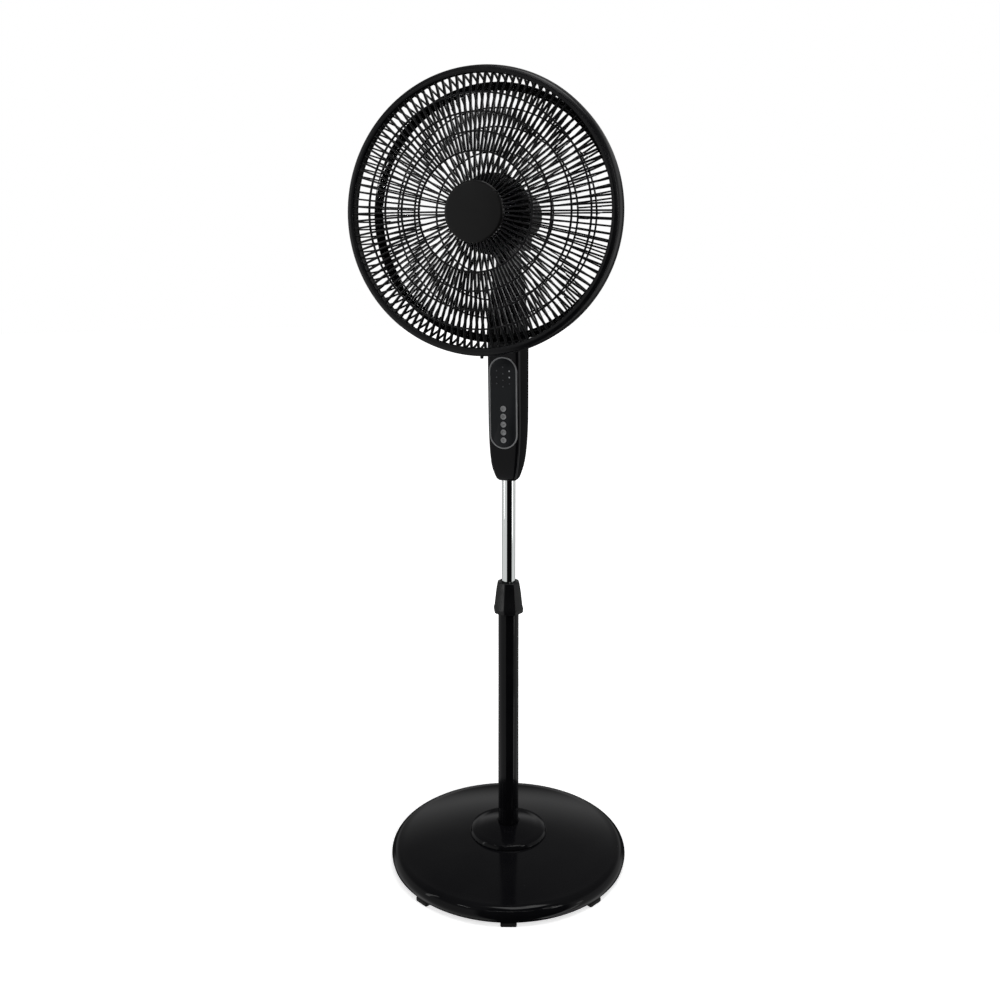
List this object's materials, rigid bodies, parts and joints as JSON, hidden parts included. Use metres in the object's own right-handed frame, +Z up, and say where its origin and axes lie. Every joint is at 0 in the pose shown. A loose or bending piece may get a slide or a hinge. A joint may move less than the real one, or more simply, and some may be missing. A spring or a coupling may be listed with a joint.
{
  "type": "pedestal fan",
  "caption": "Free-standing pedestal fan: weighted round base, telescopic pole, control column with keys, and a caged head that tilts and swings from side to side.",
  "frame": {"origin": "centre of the round base on the floor", "axes": "+Z up; the head blows towards -Y, so the control panel and front grille face -Y; +X is to the right seen from the front"},
  "size_m": [0.443, 0.406, 1.3355],
  "materials": {
    "gloss_black": "piano gloss black moulding",
    "pole_black": "gloss black powder coat",
    "satin_black": "satin black moulding",
    "grille_black": "black moulded ribs, semi-gloss",
    "chrome": "polished chrome plate",
    "panel_charcoal": "matte charcoal",
    "panel_silver": "satin silver ring",
    "lamp_lens": "frosted light guides",
    "key_silver": "satin silver-grey",
    "board_green": "circuit board laminate",
    "dark_nylon": "dark engineering plastic",
    "white_nylon": "white engineering plastic",
    "rubber": "black rubber",
    "steel": "zinc-plated steel",
    "cast_zinc": "as-cast light alloy",
    "laminations": "stacked electrical steel",
    "copper": "enamelled copper wire",
    "bronze": "oil-filled bronze",
    "cement": "cast cement",
    "clear_blade": "clear, lightly smoke-tinted"
  },
  "bodies": {
    "base": {"base_cover": "gloss_black", "base_plate": "dark_nylon", "base_weight": "cement", "base_feet": "rubber", "pole_socket": "cast_zinc", "socket_screws": "steel", "trim_disc": "gloss_black", "pole_bolt": "steel", "bolt_washer": "steel", "outer_pole": "pole_black", "pole_plug": "cast_zinc", "guide_sleeve": "dark_nylon"},
    "collar": {"height_collar": "satin_black"},
    "column": {"inner_pole": "chrome", "pole_stop": "dark_nylon", "column_core": "cast_zinc", "column_front": "gloss_black", "column_rear": "gloss_black", "control_panel": "panel_charcoal", "panel_trim": "panel_silver", "indicator_lenses": "lamp_lens", "control_board": "board_green", "key_switches": "dark_nylon", "ir_receiver": "dark_nylon", "column_screws": "steel", "clamp_screw": "satin_black", "cord_gland": "rubber", "tilt_bolt": "steel", "tilt_nut": "steel"},
    "neck": {"neck_block": "satin_black", "swing_post": "steel", "post_clip": "steel"},
    "head": {"motor_front_cover": "satin_black", "motor_rear_cover": "satin_black", "motor_front_frame": "cast_zinc", "motor_rear_frame": "cast_zinc", "motor_stator": "laminations", "motor_windings": "copper", "motor_bearings": "bronze", "motor_bolts": "steel", "cover_screws": "steel", "motor_capacitor": "white_nylon", "swing_motor": "dark_nylon", "rear_grille": "grille_black", "grille_nut": "satin_black", "front_grille": "grille_black", "grille_cap": "satin_black", "grille_screw": "steel"},
    "crank": {"swing_crank": "white_nylon"},
    "link": {"swing_link": "steel"},
    "rotor": {"motor_shaft": "steel", "motor_rotor": "laminations", "drive_pin": "steel", "fan_blade": "clear_blade", "blade_nut": "satin_black"},
    "key_1": {"key_1": "key_silver"},
    "key_2": {"key_2": "key_silver"},
    "key_3": {"key_3": "key_silver"},
    "key_4": {"key_4": "key_silver"},
    "key_5": {"key_5": "key_silver"}
  },
  "joints": [
    {"name": "collar_turn", "type": "hinge", "parent": "base", "child": "collar", "pos_m": [0, 0, 0.466], "axis": [0, 0, 1], "range_deg": [0, 120]},
    {"name": "pole_slide", "type": "slide", "parent": "base", "child": "column", "axis": [0, 0, 1], "range_m": [-0.17, 0.075]},
    {"name": "head_tilt", "type": "hinge", "parent": "column", "child": "neck", "pos_m": [0, 0, 0.999], "axis": [1, 0, 0], "range_deg": [-20, 10]},
    {"name": "head_swing", "type": "hinge", "parent": "neck", "child": "head", "pos_m": [0, 0, 1.064], "axis": [0, 0, 1], "range_deg": [-40, 40]},
    {"name": "crank_turn", "type": "hinge", "parent": "head", "child": "crank", "pos_m": [0, 0.056, 1.068], "axis": [0, 0, 1], "range_deg": [-57, 57]},
    {"name": "link_turn", "type": "hinge", "parent": "neck", "child": "link", "pos_m": [0.014, 0.003, 1.0637], "axis": [0, 0, 1], "range_deg": [-42, 42]},
    {"name": "blade_spin", "type": "hinge", "parent": "head", "child": "rotor", "pos_m": [0, -0.12, 1.114], "axis": [0, 1, 0], "continuous": true},
    {"name": "key_1_press", "type": "slide", "parent": "column", "child": "key_1", "axis": [0, 0.9994, 0.0349], "range_m": [0, 0.0008], "stiffness_N_per_m": 1200},
    {"name": "key_2_press", "type": "slide", "parent": "column", "child": "key_2", "axis": [0, 0.9994, 0.0349], "range_m": [0, 0.0008], "stiffness_N_per_m": 1200},
    {"name": "key_3_press", "type": "slide", "parent": "column", "child": "key_3", "axis": [0, 0.9994, 0.0349], "range_m": [0, 0.0008], "stiffness_N_per_m": 1200},
    {"name": "key_4_press", "type": "slide", "parent": "column", "child": "key_4", "axis": [0, 0.9994, 0.0349], "range_m": [0, 0.0008], "stiffness_N_per_m": 1200},
    {"name": "key_5_press", "type": "slide", "parent": "column", "child": "key_5", "axis": [0, 0.9994, 0.0349], "range_m": [0, 0.0008], "stiffness_N_per_m": 1200}
  ],
  "couplings": [
    {"joint": "crank_turn", "follows": "head_swing", "ratio": -1.4},
    {"joint": "link_turn", "follows": "head_swing", "ratio": 1.02}
  ]
}
